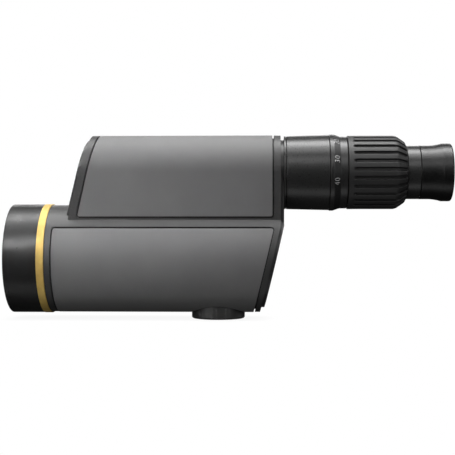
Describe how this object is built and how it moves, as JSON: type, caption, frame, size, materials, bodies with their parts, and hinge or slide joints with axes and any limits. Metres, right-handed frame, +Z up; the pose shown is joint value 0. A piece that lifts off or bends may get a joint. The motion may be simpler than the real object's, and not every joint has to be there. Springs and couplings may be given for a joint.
{
  "type": "spotting scope",
  "caption": "Compact zoom spotting scope with a folded mirror light path, armoured housing, side focus knob, rotating zoom eyepiece and a threaded tripod foot.",
  "frame": {"origin": "centre of the tripod thread's mouth, on the underside of the foot", "axes": "+X towards the eyepiece along both optical axes, +Y to the user's right, +Z up"},
  "size_m": [0.3164, 0.0815, 0.133],
  "materials": {
    "cast_housing": "black anodised casting",
    "armour_rubber": "matte black armour rubber",
    "panel_rubber": "matte mid-grey grip rubber",
    "cover_paint": "satin black coated alloy",
    "seal_rubber": "black nitrile",
    "screw_steel": "stainless steel",
    "bell_black": "semi-gloss black",
    "gold_anodised": "gold anodised",
    "lens_glass": "coated optical glass",
    "mirror_coat": "front-surface mirror",
    "internal_black": "flat black anodised",
    "foot_black": "semi-matte black anodised",
    "eyepiece_black": "satin black anodised",
    "grip_rubber": "moulded black rubber",
    "eyecup_rubber": "soft black rubber",
    "knob_black": "satin black anodised",
    "guide_alloy": "machined alloy",
    "bearing_brass": "machined brass"
  },
  "bodies": {
    "scope_body": {"main_housing": "cast_housing", "armour_frame": "armour_rubber", "upper_grip_panel": "panel_rubber", "lower_grip_panel": "panel_rubber", "front_cover": "cover_paint", "front_cover_gasket": "seal_rubber", "front_cover_screws": "screw_steel", "rear_cover": "cover_paint", "rear_cover_gasket": "seal_rubber", "rear_cover_screws": "screw_steel", "purge_screw": "screw_steel", "objective_bell": "bell_black", "trim_ring": "gold_anodised", "objective_cell": "internal_black", "objective_seal": "seal_rubber", "objective_crown_lens": "lens_glass", "objective_spacer": "internal_black", "objective_flint_lens": "lens_glass", "objective_retaining_ring": "internal_black", "barrel_baffle": "internal_black", "rear_mirror": "mirror_coat", "rear_mirror_plate": "cast_housing", "rear_mirror_screws": "screw_steel", "front_mirror": "mirror_coat", "front_mirror_plate": "cast_housing", "front_mirror_screws": "screw_steel", "tripod_foot": "foot_black", "threaded_insert": "screw_steel", "foot_screws": "screw_steel", "focus_bush": "bearing_brass", "focus_shaft_seal": "seal_rubber", "focus_rod_brackets": "cast_housing", "focus_guide_rods": "screw_steel", "eyepiece_base_ring": "eyepiece_black", "eyepiece_lock_nut": "internal_black", "eyepiece_tube": "eyepiece_black", "zoom_guide_tube": "guide_alloy", "field_stop": "internal_black", "ocular_cell": "internal_black", "ocular_lenses": "lens_glass", "eyepiece_neck": "eyepiece_black", "eyecup": "eyecup_rubber"},
    "zoom_ring_body": {"zoom_cam_sleeve": "bearing_brass", "zoom_ring": "eyepiece_black", "zoom_ring_screws": "screw_steel", "zoom_ring_seal": "seal_rubber", "zoom_grip": "grip_rubber"},
    "front_zoom_body": {"front_zoom_cell": "internal_black", "front_zoom_lens": "lens_glass", "front_cam_pin": "screw_steel"},
    "rear_zoom_body": {"rear_zoom_cell": "internal_black", "rear_zoom_lens": "lens_glass", "rear_cam_pin": "screw_steel"},
    "focus_knob_body": {"focus_shaft": "screw_steel", "focus_pinion": "bearing_brass", "focus_knob": "knob_black", "focus_knob_grip": "grip_rubber"},
    "focus_carriage_body": {"focus_carriage": "internal_black", "focus_lens": "lens_glass", "focus_lens_ring": "internal_black"}
  },
  "joints": [
    {"name": "zoom_turn", "type": "hinge", "parent": "scope_body", "child": "zoom_ring_body", "pos_m": [0.1, 0, 0.1054], "axis": [-1, 0, 0], "range_deg": [0, 105]},
    {"name": "front_zoom_slide", "type": "slide", "parent": "scope_body", "child": "front_zoom_body", "axis": [-1, 0, 0], "range_m": [0, 0.0147]},
    {"name": "rear_zoom_slide", "type": "slide", "parent": "scope_body", "child": "rear_zoom_body", "axis": [-1, 0, 0], "range_m": [0, 0.0074]},
    {"name": "focus_turn", "type": "hinge", "parent": "scope_body", "child": "focus_knob_body", "pos_m": [0.008, 0.03, 0.0885], "axis": [0, -1, 0], "range_deg": [0, 170]},
    {"name": "focus_slide", "type": "slide", "parent": "scope_body", "child": "focus_carriage_body", "axis": [-1, 0, 0], "range_m": [0, 0.0125]}
  ],
  "couplings": [
    {"joint": "front_zoom_slide", "follows": "zoom_turn", "m_per_rad": 0.008},
    {"joint": "rear_zoom_slide", "follows": "zoom_turn", "m_per_rad": 0.004},
    {"joint": "focus_slide", "follows": "focus_turn", "m_per_rad": 0.0042}
  ]
}
